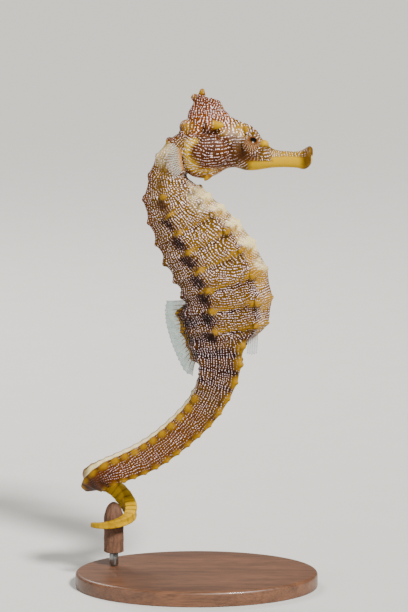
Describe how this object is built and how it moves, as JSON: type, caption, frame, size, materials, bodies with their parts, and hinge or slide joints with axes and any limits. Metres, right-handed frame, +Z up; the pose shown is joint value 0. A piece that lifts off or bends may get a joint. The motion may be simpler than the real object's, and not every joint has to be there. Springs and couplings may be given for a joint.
{
  "type": "seahorse on a display stand",
  "caption": "Adult seahorse as a life-size display model, head level, body upright, tail gripping a cut twig on a small oval stand.",
  "frame": {"origin": "centre of the underside of the stand's base, on the floor", "axes": "+Z up; the animal faces +X with its back towards -X; its right side is towards -Y"},
  "size_m": [0.064, 0.044, 0.1313],
  "materials": {
    "ringed_skin": "satin brown skin with fine white lines",
    "snout_skin": "satin yellow skin",
    "eye": "wet gloss",
    "fin_web": "clear membrane with fine rays",
    "branch_bark": "rough bark",
    "base_wood": "oiled walnut",
    "rod_steel": "brushed"
  },
  "bodies": {
    "root": {"snout": "snout_skin", "head": "ringed_skin", "coronet": "ringed_skin", "gill_cover_right": "ringed_skin", "gill_cover_left": "ringed_skin", "eye_right": "eye", "eye_left": "eye", "neck": "ringed_skin", "trunk_upper": "ringed_skin", "trunk_lower": "ringed_skin", "tail_1": "ringed_skin", "tail_2": "ringed_skin", "tail_3": "ringed_skin", "tail_4": "ringed_skin", "tail_5": "ringed_skin", "tail_6": "ringed_skin", "tail_tip": "ringed_skin", "dorsal_fin": "fin_web", "anal_fin": "fin_web", "pectoral_fin_right": "fin_web", "pectoral_fin_left": "fin_web", "perch": "branch_bark", "stand_rod": "rod_steel", "stand_base": "base_wood"}
  },
  "joints": []
}
